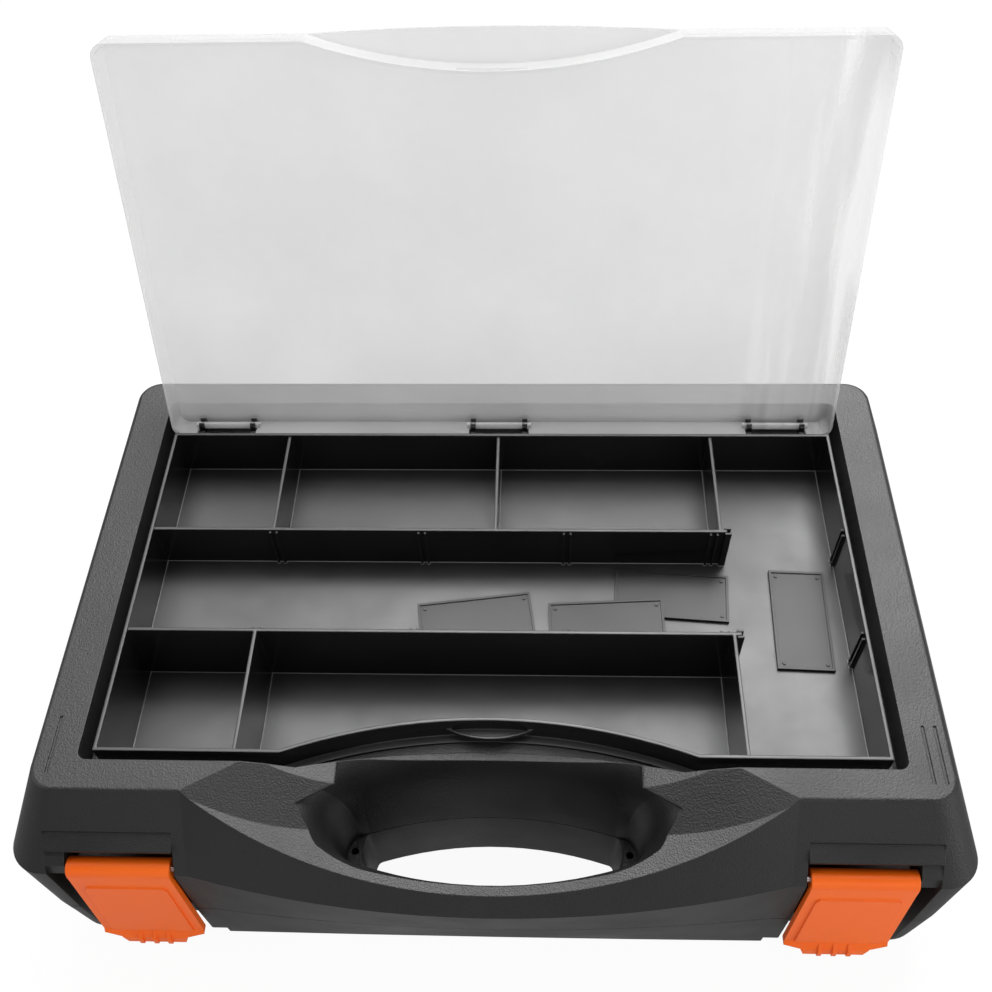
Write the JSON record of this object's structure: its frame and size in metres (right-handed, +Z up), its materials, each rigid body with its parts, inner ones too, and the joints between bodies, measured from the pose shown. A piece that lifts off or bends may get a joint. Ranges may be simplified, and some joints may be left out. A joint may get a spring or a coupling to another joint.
{
  "type": "drill carrying case",
  "caption": "Flat moulded carrying case with a scooped front handle, two side latches and a parts organiser with a hinged clear cover in its lid.",
  "frame": {"origin": "centre of the flat underside", "axes": "+X to the right seen from the handle side, +Y to the hinge side at the back, +Z up"},
  "size_m": [0.401, 0.304, 0.2912],
  "materials": {
    "case_plastic": "fine grained black plastic",
    "tray_plastic": "smooth glossy black plastic",
    "clear_plastic": "clear, slightly frosted plastic",
    "latch_plastic": "satin orange plastic",
    "pin_steel": "plain steel wire",
    "divider_plastic": "smooth black plastic"
  },
  "bodies": {
    "case_base": {"base_shell": "case_plastic", "hinge_pin_left": "pin_steel", "hinge_pin_right": "pin_steel"},
    "case_lid": {"lid_shell": "case_plastic", "organizer_tray": "tray_plastic", "latch_pin_left": "pin_steel", "latch_pin_right": "pin_steel", "divider_1": "divider_plastic", "divider_2": "divider_plastic", "divider_3": "divider_plastic", "divider_4": "divider_plastic"},
    "organizer_cover": {"clear_cover": "clear_plastic"},
    "left_latch": {"latch_left": "latch_plastic"},
    "right_latch": {"latch_right": "latch_plastic"}
  },
  "joints": [
    {"name": "lid_hinge", "type": "hinge", "parent": "case_base", "child": "case_lid", "pos_m": [0, 0.1345, 0.042], "axis": [-1, 0, 0], "range_deg": [0, 95]},
    {"name": "cover_hinge", "type": "hinge", "parent": "case_lid", "child": "organizer_cover", "pos_m": [0, 0.097, 0.1086], "axis": [-1, 0, 0], "range_deg": [-107, 0]},
    {"name": "left_latch_hinge", "type": "hinge", "parent": "case_lid", "child": "left_latch", "pos_m": [-0.1527, -0.1265, 0.084], "axis": [-1, 0, 0], "range_deg": [0, 100]},
    {"name": "right_latch_hinge", "type": "hinge", "parent": "case_lid", "child": "right_latch", "pos_m": [0.1527, -0.1265, 0.084], "axis": [-1, 0, 0], "range_deg": [0, 100]}
  ]
}
